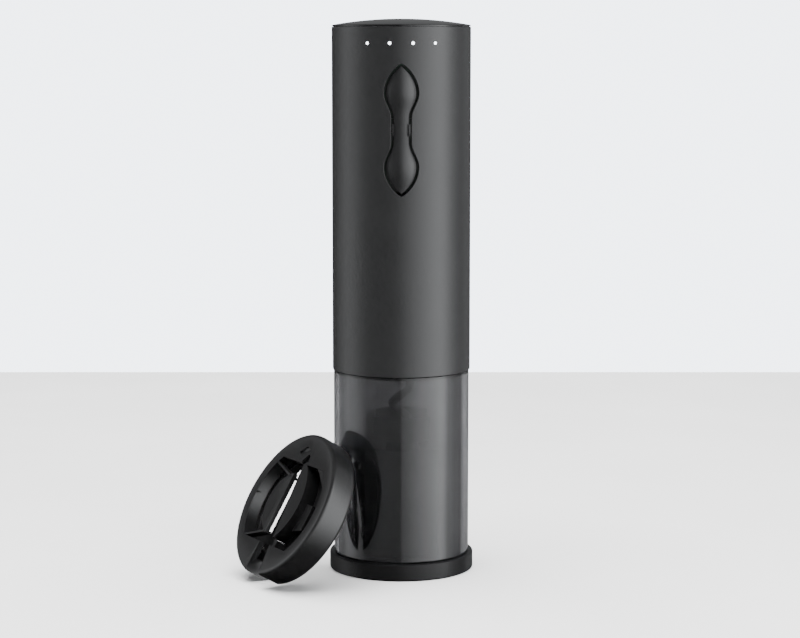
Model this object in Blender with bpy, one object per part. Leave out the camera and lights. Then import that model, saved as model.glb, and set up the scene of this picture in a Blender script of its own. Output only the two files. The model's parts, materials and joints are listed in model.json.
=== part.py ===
"""Electric wine opener standing on its base ring, with its foil cutter leaning against it.

A motor, a two-stage planetary gearbox and two cells sit in a black tube. The gearbox turns a
corkscrew inside a smoked clear sleeve, and a rocker switch on the front picks the direction.
Lengths are in metres (MM converts from millimetres), +Z is up, and -Y is the front.
"""

import math

import bmesh
import bpy
from mathutils import Matrix, Vector

MM = 0.001

# --- Driving dimensions -------------------------------------------------------------------

AXIS_X = 16.83 * MM            # the tube's axis, measured from the middle of the whole set
AXIS_Y = 10.98 * MM
GAP = 0.3 * MM                # clearance between pieces that touch in the real object
ROUND = 40                    # sides of a large turned piece
SMALL_ROUND = 16              # sides of a small turned piece

TOTAL_HEIGHT = 200.0 * MM
HOUSING_R = 25.0 * MM
HOUSING_WALL = 1.8 * MM
HOUSING_BOTTOM = 73.5 * MM    # the seam between the black housing and the clear sleeve
HOUSING_TOP = 197.1 * MM      # the seam between the housing and its cap
HOUSING_BORE = HOUSING_R - HOUSING_WALL
SLEEVE_R = 24.6 * MM
SLEEVE_WALL = 1.7 * MM
SPIGOT_R = HOUSING_BORE - GAP
BASE_R = 26.25 * MM
BASE_HEIGHT = 6.1 * MM

GUIDE_R = 17.5 * MM           # the neck guide's lower tube, outside
GUIDE_BORE = 16.0 * MM        # takes a 29 to 30 mm bottle neck
GUIDE_STOP = 46.0 * MM        # the shoulder that stops on the bottle's lip
GUIDE_TOP = 56.8 * MM
CORK_COLLAR_R = 13.4 * MM     # the narrow ring above the shoulder, outside
CORK_BORE = 12.2 * MM

WORM_PITCH = 14.0 * MM
WORM_OUTER_R = 4.75 * MM
WORM_WIRE_R = 1.45 * MM
WORM_TIP = 11.8 * MM
WORM_TOP = 83.0 * MM
WORM_LEFT_CROSSING = 46.3 * MM  # a height at which the helix passes the -X side

LED_HEIGHT = 191.3 * MM
LED_ANGLES = (-28.65, -9.55, 9.55, 28.65)  # degrees around the tube from its front
LED_R = 0.75 * MM

SWITCH_HEIGHT = 161.0 * MM
SWITCH_TRAVEL_DEG = 2.0
LOBE_AT = 12.8 * MM           # distance from the pivot to the widest part of a lobe
LOBE_HALF = 5.86 * MM
WAIST_HALF = 3.7 * MM
WAIST_FLAT = 4.5 * MM
SWITCH_TIP = 22.7 * MM
SWITCH_GAP = 0.25 * MM        # on each side of the line between switch and housing
LOBE_POWER = 0.8              # how pointed the ends of the switch are

GEAR_MODULE = 0.55 * MM
SUN_TEETH = 9
PLANET_TEETH = 18
RING_TEETH = 45
PLANET_ORBIT = GEAR_MODULE * (SUN_TEETH + PLANET_TEETH) / 2
PLANET_ANGLES = (0, 120, 240)
PLANET_BORE = 1.35 * MM
PLANET_PIN_R = 1.2 * MM

CUTTER_R = 27.5 * MM
CUTTER_THICKNESS = 10.5 * MM
CUTTER_LEAN = math.radians(31.0)       # how far its face looks up
CUTTER_HEADING = math.radians(209.85)  # the compass direction that its face looks in
CUTTER_REST = Vector((-46.53, -26.4, -0.684)) * MM  # where its back rim stands, from the tube's axis
CUTTER_CAVITY_R = 23.6 * MM            # the round cavity in its back, for a bottle's neck
CUTTER_CAVITY_DEPTH = 4.1 * MM
CUTTER_CHANNEL_R = 22.3 * MM           # outer edge of the two curved channels in its face
CUTTER_CHANNEL_HALF = 15.7 * MM        # where they end, above and below the middle
CUTTER_CHANNEL_DEPTH = 5.6 * MM
CUTTER_BRIDGE = 2.3 * MM               # thickness of the face past the channels' ends
CUTTER_PLATE = 1.7 * MM                # thickness of the plates between the channels
CUTTER_LENSES = {                      # each plate's arc: centre, radius and half sweep
    -1: (0.4 * MM, -0.3 * MM, 12.2 * MM, math.radians(73.8)),
    1: (-8.2 * MM, 0.8 * MM, 18.5 * MM, math.radians(54.5))}
CUTTER_EDGES = {                       # each jaw's edge at the slit, from the open end up
    -1: ((-3.0, -32), (-3.0, 15.0), (-2.2, 16.0), (0.6, 19.4), (-0.25, 20.2), (-0.15, 32)),
    1: ((7.0, -32), (2.4, 0), (0.5, 13.2), (0.4, 15.7), (2.7, 17.0), (1.9, 19.4), (0.35, 20.2),
        (0.15, 32))}
CUTTER_HINGE_AT = 24.0 * MM
WHEEL_R = 4.2 * MM
WHEEL_THICKNESS = 0.8 * MM
WHEEL_ORBIT = 19.0 * MM
WHEEL_OFF_AXIS = math.radians(22)

# Heights along the axis of what is inside the housing
CHAMBER_TOP = 91.5 * MM
NOSE_BOTTOM = 92.3 * MM
GEAR_CASE_BOTTOM = 97.5 * MM
GEAR_CASE_TOP = 117.3 * MM
MOTOR_BOTTOM = 120.2 * MM
MOTOR_TOP = 151.0 * MM
MOTOR_R = 12.2 * MM
CELL_BOTTOM = 156.0 * MM
CELL_HEIGHT = 33.5 * MM
CELL_R = 8.1 * MM
CELL_X = 8.7 * MM
CELL_Y = 1.5 * MM
BOARD_BACK = -17.0 * MM
BOARD_FRONT = -18.6 * MM


# --- Scene, materials and mesh helpers ----------------------------------------------------

for old in list(bpy.data.objects):
    bpy.data.objects.remove(old, do_unlink=True)


def new_material(name, color, roughness, metallic=0.0):
    material = bpy.data.materials.new(name)
    material.use_nodes = True
    shader = material.node_tree.nodes["Principled BSDF"]
    shader.inputs["Base Color"].default_value = (*color, 1.0)
    shader.inputs["Roughness"].default_value = roughness
    shader.inputs["Metallic"].default_value = metallic
    material.diffuse_color = (*color, 1.0)
    return material


SATIN_BLACK = new_material("satin_black", (0.035, 0.035, 0.037), 0.42)
GLOSS_BLACK = new_material("gloss_black", (0.015, 0.015, 0.016), 0.12)
SMOKED_CLEAR = new_material("smoked_clear", (0.06, 0.06, 0.065), 0.05)
SMOKED_INNER = new_material("smoked_inner", (0.08, 0.08, 0.085), 0.1)
CUTTER_BLACK = new_material("cutter_black", (0.03, 0.03, 0.032), 0.35)
LENS_WHITE = new_material("lens_white", (0.9, 0.9, 0.9), 0.3)
STEEL = new_material("steel", (0.6, 0.6, 0.61), 0.25, 1.0)
DARK_STEEL = new_material("dark_steel", (0.12, 0.12, 0.125), 0.3, 1.0)
BRONZE = new_material("bronze", (0.55, 0.38, 0.2), 0.35, 1.0)
ZINC = new_material("zinc", (0.5, 0.5, 0.5), 0.4, 1.0)
ACETAL = new_material("acetal", (0.82, 0.82, 0.78), 0.45)
CHASSIS_GREY = new_material("chassis_grey", (0.16, 0.16, 0.17), 0.6)
BOARD_GREEN = new_material("board_green", (0.03, 0.16, 0.07), 0.5)
CELL_BLUE = new_material("cell_blue", (0.05, 0.16, 0.42), 0.35)


def new_empty(name, matrix, parent=None):
    empty = bpy.data.objects.new(name, None)
    bpy.context.collection.objects.link(empty)
    empty.parent = parent
    empty.matrix_basis = matrix
    return empty


def add_object(name, bm, material, parent, place=Matrix.Identity(4)):
    """Turn a bmesh into a smooth-shaded object, with all faces pointing out."""
    bmesh.ops.recalc_face_normals(bm, faces=bm.faces)
    mesh = bpy.data.meshes.new(name)
    bm.to_mesh(mesh)
    bm.free()
    mesh.materials.append(material)
    mesh.shade_smooth()
    mesh.set_sharp_from_angle(angle=math.radians(35))
    piece = bpy.data.objects.new(name, mesh)
    bpy.context.collection.objects.link(piece)
    piece.parent = parent
    piece.matrix_basis = place
    return piece


def add_copy(name, original, place):
    piece = bpy.data.objects.new(name, original.data)
    bpy.context.collection.objects.link(piece)
    piece.parent = original.parent
    piece.matrix_basis = place
    return piece


def combine(piece, bm, operation="DIFFERENCE"):
    """Cut a shape out of a piece, or weld it on with UNION. The tool object isn't a part."""
    tool = add_object("tool_" + piece.name, bm, piece.data.materials[0], piece.parent,
                      piece.matrix_basis.copy())
    tool.hide_render = True
    tool.display_type = "WIRE"
    modifier = piece.modifiers.new("combine", "BOOLEAN")
    modifier.operation = operation
    modifier.solver = "EXACT"
    modifier.object = tool
    return piece


def turned(outline, sides=ROUND, start=0.0, sweep=math.tau, into=None):
    """A closed (radius, height) outline turned about Z. A part turn gets flat end faces."""
    bm = into or bmesh.new()
    whole = math.isclose(sweep, math.tau)
    columns = []
    poles = {}
    for step in range(sides if whole else sides + 1):
        angle = start + sweep * step / sides
        column = []
        for index, (radius, height) in enumerate(outline):
            if radius == 0:
                if index not in poles:
                    poles[index] = bm.verts.new((0, 0, height))
                column.append(poles[index])
            else:
                column.append(bm.verts.new((radius * math.cos(angle),
                                            radius * math.sin(angle), height)))
        columns.append(column)
    pairs = list(zip(columns, columns[1:]))
    if whole:
        pairs.append((columns[-1], columns[0]))
    for here, there in pairs:
        for index in range(len(outline)):
            after = (index + 1) % len(outline)
            corners = []
            for vert in (here[index], there[index], there[after], here[after]):
                if vert not in corners:
                    corners.append(vert)
            if len(corners) > 2:
                bm.faces.new(corners)
    if not whole:
        bm.faces.new(columns[0])
        bm.faces.new(columns[-1])
    return bm


def extruded(outline, low, high, into=None):
    """An (x, y) outline made into a prism from one height to another."""
    bm = into or bmesh.new()
    bottom = [bm.verts.new((x, y, low)) for x, y in outline]
    top = [bm.verts.new((x, y, high)) for x, y in outline]
    bm.faces.new(bottom)
    bm.faces.new(top)
    for index in range(len(outline)):
        after = (index + 1) % len(outline)
        bm.faces.new((bottom[index], bottom[after], top[after], top[index]))
    return bm


def zip_loops(bm, outer, inner):
    """Fill the flat band between two loops that start at the same angle and turn together."""
    i = j = 0
    while i < len(outer) or j < len(inner):
        outer_vert = outer[i % len(outer)]
        inner_vert = inner[j % len(inner)]
        if (i + 1) * len(inner) <= (j + 1) * len(outer):
            i += 1
            bm.faces.new((outer_vert, outer[i % len(outer)], inner_vert))
        else:
            j += 1
            bm.faces.new((outer_vert, inner[j % len(inner)], inner_vert))


def holed_prism(outer, inner, low, high):
    """A prism between an outer and an inner outline."""
    bm = bmesh.new()
    rings = []
    for height in (low, high):
        ring_pair = []
        for outline in (outer, inner):
            ring_pair.append([bm.verts.new((x, y, height)) for x, y in outline])
        zip_loops(bm, *ring_pair)
        rings.append(ring_pair)
    for low_ring, high_ring in zip(*rings):
        for index in range(len(low_ring)):
            after = (index + 1) % len(low_ring)
            bm.faces.new((low_ring[index], low_ring[after], high_ring[after], high_ring[index]))
    return bm


def circle(radius, sides, start=0.0):
    points = []
    for step in range(sides):
        angle = start + math.tau * step / sides
        points.append((radius * math.cos(angle), radius * math.sin(angle)))
    return points


def box(low, high, into=None):
    """A plain block between two corners."""
    outline = ((low[0], low[1]), (high[0], low[1]), (high[0], high[1]), (low[0], high[1]))
    return extruded(outline, low[2], high[2], into)


def rod(radius, start, end, sides=12, into=None):
    """A plain cylinder between two points."""
    start, end = Vector(start), Vector(end)
    along = end - start
    turn = along.to_track_quat("Z", "Y").to_matrix().to_4x4()
    bm = into or bmesh.new()
    before = set(bm.verts)
    extruded(circle(radius, sides), 0, along.length, bm)
    fresh = [vert for vert in bm.verts if vert not in before]
    bmesh.ops.transform(bm, matrix=Matrix.Translation(start) @ turn, verts=fresh)
    return bm


def polar(radius, degrees, height):
    angle = math.radians(degrees)
    return Vector((radius * math.cos(angle), radius * math.sin(angle), height))


def at(x, y, z):
    return Matrix.Translation((x, y, z))


def upright(bm, height, side):
    """Stand a flat prism up at a height. Its layers then go to the front (-1) or the back (1)."""
    stand = Matrix(((1, 0, 0), (0, 0, side), (0, 1, 0))).to_4x4()
    bmesh.ops.transform(bm, matrix=at(0, 0, height) @ stand, verts=bm.verts)
    return bm


# --- Outer shell --------------------------------------------------------------------------


def switch_half_width(along):
    """Half the width of the peanut-shaped switch line, at a distance from its pivot."""
    distance = abs(along)
    if distance <= LOBE_AT:
        t = min(max((distance - WAIST_FLAT) / (LOBE_AT - WAIST_FLAT), 0), 1)
        return WAIST_HALF + (LOBE_HALF - WAIST_HALF) * t * t * (3 - 2 * t)
    t = min((distance - LOBE_AT) / (SWITCH_TIP - LOBE_AT), 1)
    return LOBE_HALF * (1 - t * t) ** LOBE_POWER


def switch_outline(grow, steps=22):
    """The switch's outline as (across, along) points, grown or shrunk by a distance."""
    side = []
    for step in range(steps + 1):
        along = -math.cos(math.pi * step / steps) * SWITCH_TIP
        across = switch_half_width(along)
        stretch = 1 + grow / SWITCH_TIP
        side.append((max(across + grow, 0), along * stretch))
    left = [(-across, along) for across, along in reversed(side[1:-1])]
    return [point for point in side if point[0] > 0 or abs(point[1]) > SWITCH_TIP / 2] + left


def cap_outline():
    """Shallow dome, small rim and the skirt that plugs into the housing."""
    rim_r = HOUSING_R - 0.1 * MM
    rim_z = HOUSING_TOP + 0.25 * MM
    dome_r = HOUSING_R - 0.8 * MM
    dome_rise = 2.1 * MM
    outline = [(0, TOTAL_HEIGHT)]
    for part in (0.5, 0.8, 1.0):
        outline.append((dome_r * part, TOTAL_HEIGHT - dome_rise * part * part))
    skirt_r = HOUSING_BORE - GAP
    skirt_bottom = HOUSING_TOP - 3.3 * MM
    outline += [(rim_r, rim_z + 0.3 * MM), (rim_r, rim_z), (skirt_r, rim_z),
                (skirt_r, skirt_bottom), (skirt_r - 1.4 * MM, skirt_bottom),
                (skirt_r - 1.4 * MM, HOUSING_TOP - 0.2 * MM), (0, HOUSING_TOP + 0.3 * MM)]
    return outline


def build_shell(root):
    add_object("top_cap", turned(cap_outline()), GLOSS_BLACK, root)

    edge = 0.4 * MM
    housing = turned([
        (HOUSING_R - edge, HOUSING_BOTTOM), (HOUSING_R, HOUSING_BOTTOM + edge),
        (HOUSING_R, HOUSING_TOP - edge), (HOUSING_R - edge, HOUSING_TOP),
        (HOUSING_BORE, HOUSING_TOP), (HOUSING_BORE, HOUSING_BOTTOM)])
    housing = add_object("upper_housing", housing, SATIN_BLACK, root)
    combine(housing, upright(extruded(switch_outline(SWITCH_GAP), 15 * MM, 30 * MM),
                             SWITCH_HEIGHT, -1))
    holes = bmesh.new()
    for angle in LED_ANGLES:
        rod(LED_R + 0.15 * MM, polar(20 * MM, angle - 90, LED_HEIGHT),
            polar(28 * MM, angle - 90, LED_HEIGHT), 12, holes)
    combine(housing, holes)
    combine(housing, port_shape(PORT_GROW, 20 * MM, 28 * MM))

    shoulder = HOUSING_BOTTOM - GAP
    inside = SLEEVE_R - SLEEVE_WALL
    spigot_bore = SPIGOT_R - 1.5 * MM
    sleeve = turned([
        (SLEEVE_R - 0.35 * MM, BASE_HEIGHT + GAP), (SLEEVE_R, BASE_HEIGHT + GAP + 0.35 * MM),
        (SLEEVE_R, shoulder), (SPIGOT_R, shoulder), (SPIGOT_R, 80 * MM),
        (spigot_bore, 80 * MM), (spigot_bore, 71.2 * MM), (inside, 69.7 * MM),
        (inside, BASE_HEIGHT + GAP)])
    add_object("clear_sleeve", sleeve, SMOKED_CLEAR, root)

    lip_r = SLEEVE_R - SLEEVE_WALL - GAP
    seat_r = lip_r - 1.1 * MM
    seat = BASE_HEIGHT - 1.0 * MM
    base = turned([
        (BASE_R - 0.5 * MM, 0), (BASE_R, 0.5 * MM), (BASE_R, BASE_HEIGHT - 0.5 * MM),
        (BASE_R - 0.5 * MM, BASE_HEIGHT), (lip_r, BASE_HEIGHT), (lip_r, BASE_HEIGHT + 1.5 * MM),
        (seat_r, BASE_HEIGHT + 1.5 * MM), (seat_r, seat), (GUIDE_BORE + 0.6 * MM, seat),
        (GUIDE_BORE + 0.6 * MM, 1.2 * MM), (GUIDE_BORE + 1.8 * MM, 0)])
    add_object("base_ring", base, GLOSS_BLACK, root)

    flange_r = seat_r - GAP
    guide = turned([
        (flange_r, seat + GAP), (flange_r, seat + 2.1 * MM), (GUIDE_R, seat + 2.1 * MM),
        (GUIDE_R, GUIDE_STOP), (CORK_COLLAR_R, GUIDE_STOP + 2.4 * MM),
        (CORK_COLLAR_R, GUIDE_TOP), (CORK_BORE, GUIDE_TOP), (CORK_BORE, GUIDE_STOP),
        (GUIDE_BORE, GUIDE_STOP), (GUIDE_BORE, seat + GAP)])
    add_object("neck_guide", guide, SMOKED_INNER, root)


# --- Charging port, lights and switch -----------------------------------------------------

PORT_HEIGHT = 178.0 * MM
PORT_HALF = 4.47 * MM
PORT_THICK = 1.6 * MM
PORT_GROW = 0.3 * MM


def port_outline(grow):
    """Rounded slot of the charging socket, as (across, up) points."""
    reach = PORT_THICK + grow
    middle = PORT_HALF - PORT_THICK
    points = []
    for step in range(7):
        angle = math.pi * step / 6 - math.pi / 2
        points.append((middle + reach * math.cos(angle), reach * math.sin(angle)))
    return points + [(-across, -up) for across, up in points]


def port_shape(grow, near, far):
    """The slot's outline pushed from one depth to another at the back of the tube."""
    return upright(extruded(port_outline(grow), near, far), PORT_HEIGHT, 1)


def build_port(root):
    socket = add_object("charging_socket", port_shape(0, 17.2 * MM, 24.6 * MM), STEEL, root)
    combine(socket, port_shape(-0.35 * MM, 18.2 * MM, 26 * MM))
    board_top = PORT_HEIGHT - PORT_THICK - GAP
    board = box((-6.5 * MM, 13.4 * MM, board_top - 1.0 * MM), (6.5 * MM, 21.9 * MM, board_top))
    add_object("charging_board", board, BOARD_GREEN, root)


def build_lights(root):
    """One moulded light guide: a curved bar with a stub for each battery light."""
    low, high = LED_HEIGHT - 1.2 * MM, LED_HEIGHT + 1.2 * MM
    inner, outer = HOUSING_BORE - 1.9 * MM, HOUSING_BORE - 0.4 * MM
    sweep = math.radians(70)
    bar = turned([(inner, low), (outer, low), (outer, high), (inner, high)], 14,
                 -math.pi / 2 - sweep / 2, sweep)
    guide = add_object("light_guide", bar, LENS_WHITE, root)
    stubs = bmesh.new()
    for angle in LED_ANGLES:
        rod(LED_R, polar(inner + 0.5 * MM, angle - 90, LED_HEIGHT),
            polar(HOUSING_R - 0.1 * MM, angle - 90, LED_HEIGHT), 12, stubs)
    combine(guide, stubs, "UNION")


PIVOT_DEPTH = 21.6 * MM       # the switch's pivot, from the tube's axis
SWITCH_THICKNESS = 2.0 * MM
EAR_R = 0.8 * MM
EAR_HALF = 5.0 * MM


def build_switch(root):
    """The rocker with its two pushing pins, the frame that it turns in, and the control board."""
    pivot = at(0, -PIVOT_DEPTH, SWITCH_HEIGHT)
    outline = switch_outline(-SWITCH_GAP)
    bm = bmesh.new()

    def ring(scale, out):
        verts = []
        for across, along in outline:
            x, z = across * scale, along * scale
            depth = math.sqrt(HOUSING_R ** 2 - x * x) + out
            verts.append(bm.verts.new((x, PIVOT_DEPTH - depth, z)))
        return verts

    rings = [ring(1.0, -SWITCH_THICKNESS), ring(1.0, -0.5 * MM), ring(0.93, 0.0), ring(0.6, 0.5 * MM)]
    for low_ring, high_ring in zip(rings, rings[1:]):
        for index in range(len(outline)):
            after = (index + 1) % len(outline)
            bm.faces.new((low_ring[index], low_ring[after], high_ring[after], high_ring[index]))
    half = len(outline) // 2
    for end_ring in (rings[0], rings[-1]):
        right, left = end_ring[:half + 1], [end_ring[0]] + end_ring[:half - 1:-1]
        for index in range(half):
            corners = []
            for vert in (right[index], right[index + 1], left[index + 1], left[index]):
                if vert not in corners:
                    corners.append(vert)
            bm.faces.new(corners)
    rocker = add_object("switch_rocker", bm, SATIN_BLACK, root, pivot)
    underside = PIVOT_DEPTH - HOUSING_R + SWITCH_THICKNESS
    combine(rocker, box((-2.6 * MM, underside - 0.6 * MM, -1.5 * MM), (2.6 * MM, 0, 1.5 * MM)),
            "UNION")
    combine(rocker, rod(EAR_R, (-EAR_HALF, 0, 0), (EAR_HALF, 0, 0)), "UNION")

    half_sweep = math.radians(21)
    inner, outer = 20.9 * MM, HOUSING_BORE - GAP
    low, high = SWITCH_HEIGHT - 25.2 * MM, SWITCH_HEIGHT + 25.2 * MM
    frame = turned([(inner, low), (outer, low), (outer, high), (inner, high)], 10,
                   -math.pi / 2 - half_sweep, 2 * half_sweep)
    frame = add_object("switch_frame", frame, CHASSIS_GREY, root)
    combine(frame, upright(extruded(switch_outline(0.5 * MM), 15 * MM, 30 * MM),
                           SWITCH_HEIGHT, -1))
    combine(frame, rod(EAR_R + 0.25 * MM, (-EAR_HALF - 0.3 * MM, -PIVOT_DEPTH, SWITCH_HEIGHT),
                       (EAR_HALF + 0.3 * MM, -PIVOT_DEPTH, SWITCH_HEIGHT)))

    board = box((-8.5 * MM, BOARD_FRONT, SWITCH_HEIGHT - 22 * MM),
                (8.5 * MM, BOARD_BACK, SWITCH_HEIGHT + 25 * MM))
    board = add_object("control_board", board, BOARD_GREEN, root)
    parts = bmesh.new()
    bores = bmesh.new()
    button_front = BOARD_FRONT - 2.0 * MM
    for side in (-1, 1):
        height = SWITCH_HEIGHT + side * LOBE_AT
        box((-2.6 * MM, button_front, height - 2.6 * MM),
            (2.6 * MM, BOARD_FRONT + 0.4 * MM, height + 2.6 * MM), parts)
        rod(1.5 * MM, (0, button_front - 1 * MM, height), (0, BOARD_FRONT - 0.1 * MM, height),
            16, bores)
    box((-4.5 * MM, BOARD_FRONT - 1.2 * MM, SWITCH_HEIGHT - 4 * MM),
        (4.5 * MM, BOARD_FRONT + 0.4 * MM, SWITCH_HEIGHT + 4 * MM), parts)
    combine(board, parts, "UNION")
    combine(board, bores)
    lobe_rim = math.sqrt(HOUSING_R ** 2 - LOBE_HALF ** 2)
    pin_front = PIVOT_DEPTH + SWITCH_THICKNESS - lobe_rim + 0.15 * MM
    pin_back = PIVOT_DEPTH + BOARD_FRONT - 0.7 * MM
    for name, offset in (("plunger_down", -LOBE_AT), ("plunger_up", LOBE_AT)):
        pin = rod(1.2 * MM, (0, pin_front, offset), (0, pin_back, offset), 16)
        add_object(name, pin, ACETAL, root, pivot)


# --- Chassis, battery and motor -----------------------------------------------------------


def build_chassis(root):
    """The cork chamber with its flange, and two half shells that clamp motor and gearbox."""
    flange_r = HOUSING_BORE - GAP
    chamber_bottom = 81.0 * MM
    chamber_r, chamber_bore = 15.6 * MM, 14.0 * MM
    flange_low = CHAMBER_TOP - 2.5 * MM
    chamber = turned([
        (chamber_r, chamber_bottom), (chamber_r, flange_low), (flange_r, flange_low),
        (flange_r, CHAMBER_TOP), (chamber_bore, CHAMBER_TOP), (chamber_bore, chamber_bottom)], 32)
    chamber = add_object("cork_chamber", chamber, CHASSIS_GREY, root)

    foot = CHAMBER_TOP + 0.3 * MM
    foot_top = foot + 2.0 * MM
    gear_r, motor_r = 15.6 * MM, MOTOR_R + 0.3 * MM
    wall = 1.3 * MM
    step = MOTOR_BOTTOM + 0.3 * MM
    top = MOTOR_TOP + 1.2 * MM
    outline = [(gear_r, foot), (flange_r, foot), (flange_r, foot_top),
               (gear_r + wall, foot_top), (gear_r + wall, step + wall),
               (motor_r + wall, step + wall), (motor_r + wall, top), (motor_r, top),
               (motor_r, step), (gear_r, step)]
    half_gap = 0.02
    screw_r = 19.6 * MM
    screw_angles = {"front": (-135, -45), "rear": (45, 135)}
    for side, start in (("front", -math.pi), ("rear", 0.0)):
        shell = turned(outline, 14, start + half_gap, math.pi - 2 * half_gap)
        shell = add_object("chassis_" + side, shell, CHASSIS_GREY, root)
        holes = bmesh.new()
        for angle in screw_angles[side]:
            rod(1.25 * MM, polar(screw_r, angle, foot - 1 * MM),
                polar(screw_r, angle, foot_top + 1 * MM), 12, holes)
        combine(shell, holes)
    holes = bmesh.new()
    screw = turned([(0, foot_top + 1.9 * MM), (1.8 * MM, foot_top + 1.5 * MM),
                    (2.1 * MM, foot_top + 0.3 * MM), (1.0 * MM, foot_top + 0.3 * MM),
                    (1.0 * MM, flange_low - 0.4 * MM), (0, flange_low - 1.2 * MM)], 12)
    original = None
    for number, angle in enumerate(screw_angles["front"] + screw_angles["rear"], 1):
        rod(1.25 * MM, polar(screw_r, angle, flange_low - 1 * MM),
            polar(screw_r, angle, CHAMBER_TOP + 0.15 * MM), 12, holes)
        place = Matrix.Translation(polar(screw_r, angle, 0))
        name = f"chassis_screw_{number}"
        if original is None:
            original = add_object(name, screw, ZINC, root, place)
        else:
            add_copy(name, original, place)
    combine(chamber, holes)


def stadium(half_length, radius, steps=8):
    """Outline of a slot with round ends along X, about the battery's middle."""
    points = []
    for side in (1, -1):
        for step in range(steps + 1):
            angle = math.pi * step / steps - math.pi / 2
            points.append((side * (half_length + radius * math.cos(angle)),
                           CELL_Y + side * radius * math.sin(angle)))
    return points


def build_battery(root):
    low = CELL_BOTTOM - 2.2 * MM
    holder = extruded(stadium(CELL_X, CELL_R + 1.5 * MM), low, CELL_BOTTOM + 27 * MM)
    holder = add_object("battery_holder", holder, CHASSIS_GREY, root)
    bays = bmesh.new()
    for side in (-1, 1):
        rod(CELL_R + 0.3 * MM, (side * CELL_X, CELL_Y, CELL_BOTTOM - 1.0 * MM),
            (side * CELL_X, CELL_Y, CELL_BOTTOM + 30 * MM), 24, bays)
    combine(holder, bays)

    cell = turned([
        (0, 0), (CELL_R - 0.6 * MM, 0), (CELL_R, 0.6 * MM), (CELL_R, CELL_HEIGHT - 1.4 * MM),
        (CELL_R - 0.7 * MM, CELL_HEIGHT - 0.8 * MM), (3.0 * MM, CELL_HEIGHT - 0.8 * MM),
        (2.7 * MM, CELL_HEIGHT), (0, CELL_HEIGHT)], SMALL_ROUND)
    first = add_object("battery_cell_left", cell, CELL_BLUE, root,
                       at(-CELL_X, CELL_Y, CELL_BOTTOM))
    add_copy("battery_cell_right", first, at(CELL_X, CELL_Y, CELL_BOTTOM))

    contact = turned([(0, -0.3 * MM), (0, -0.7 * MM), (5.5 * MM, -0.7 * MM),
                      (5.5 * MM, -0.3 * MM)], 16)
    first = add_object("battery_contact_left", contact, STEEL, root,
                       at(-CELL_X, CELL_Y, CELL_BOTTOM))
    add_copy("battery_contact_right", first, at(CELL_X, CELL_Y, CELL_BOTTOM))
    strap_low = CELL_BOTTOM + CELL_HEIGHT + 0.25 * MM
    strap = extruded(stadium(CELL_X, 3.2 * MM, 6), strap_low, strap_low + 0.5 * MM)
    add_object("battery_strap", strap, STEEL, root)


def build_motor(root):
    wall = 0.9 * MM
    can = turned([
        (3.0 * MM, MOTOR_BOTTOM), (MOTOR_R - 0.8 * MM, MOTOR_BOTTOM),
        (MOTOR_R, MOTOR_BOTTOM + 0.8 * MM), (MOTOR_R, MOTOR_TOP - 1.6 * MM),
        (MOTOR_R - wall, MOTOR_TOP - 1.6 * MM), (MOTOR_R - wall, MOTOR_BOTTOM + wall),
        (3.0 * MM, MOTOR_BOTTOM + wall)], 24)
    can = add_object("motor_can", can, STEEL, root)
    end = turned([
        (1.3 * MM, MOTOR_TOP - 1.3 * MM), (MOTOR_R - 0.2 * MM, MOTOR_TOP - 1.3 * MM),
        (MOTOR_R - 0.2 * MM, MOTOR_TOP), (4.0 * MM, MOTOR_TOP), (4.0 * MM, MOTOR_TOP + 1.0 * MM),
        (1.3 * MM, MOTOR_TOP + 1.0 * MM)], SMALL_ROUND)
    add_object("motor_end_cap", end, ACETAL, root)

    plate_low = GEAR_CASE_TOP + GAP
    plate = turned([(3.2 * MM, plate_low), (15.0 * MM, plate_low),
                    (15.0 * MM, MOTOR_BOTTOM - GAP), (3.2 * MM, MOTOR_BOTTOM - GAP)], 24)
    plate = add_object("motor_plate", plate, DARK_STEEL, root)
    screw_x = 8.0 * MM
    plate_holes = bmesh.new()
    can_holes = bmesh.new()
    head = plate_low - 1.4 * MM
    screw = turned([(0, head), (2.0 * MM, head), (2.0 * MM, plate_low - 0.2 * MM),
                    (1.0 * MM, plate_low - 0.2 * MM), (1.0 * MM, MOTOR_BOTTOM + 1.6 * MM),
                    (0, MOTOR_BOTTOM + 1.6 * MM)], 12)
    first = add_object("motor_screw_1", screw, ZINC, root, at(screw_x, 0, 0))
    add_copy("motor_screw_2", first, at(-screw_x, 0, 0))
    for side in (-1, 1):
        rod(1.25 * MM, (side * screw_x, 0, plate_low - 1 * MM),
            (side * screw_x, 0, MOTOR_BOTTOM - 0.1 * MM), 12, plate_holes)
        rod(1.25 * MM, (side * screw_x, 0, MOTOR_BOTTOM - 1 * MM),
            (side * screw_x, 0, MOTOR_BOTTOM + 2 * MM), 12, can_holes)
    combine(plate, plate_holes)
    combine(can, can_holes)

    core_low, core_high = MOTOR_BOTTOM + 4 * MM, MOTOR_TOP - 6 * MM
    shaft_r = 1.0 * MM
    rotor = turned([
        (0, 109.0 * MM), (shaft_r, 109.0 * MM), (shaft_r, core_low), (9.0 * MM, core_low),
        (9.0 * MM, core_high), (3.5 * MM, core_high), (3.5 * MM, core_high + 3.5 * MM),
        (shaft_r, core_high + 3.5 * MM), (shaft_r, MOTOR_TOP + 0.6 * MM),
        (0, MOTOR_TOP + 0.6 * MM)], 12)
    add_object("motor_rotor", rotor, DARK_STEEL, root)
    sun = holed_prism(gear_outline(SUN_TEETH, True), circle(shaft_r + 0.12 * MM, 12),
                      STAGE_ONE_LOW, STAGE_ONE_HIGH + 1.5 * MM)
    add_object("motor_pinion", sun, BRONZE, root)


# --- Planetary gearbox --------------------------------------------------------------------

STAGE_TWO_LOW = 100.9 * MM
STAGE_TWO_HIGH = 105.7 * MM
STAGE_ONE_LOW = 109.4 * MM
STAGE_ONE_HIGH = 113.9 * MM
DISC_R = 11.0 * MM


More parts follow.
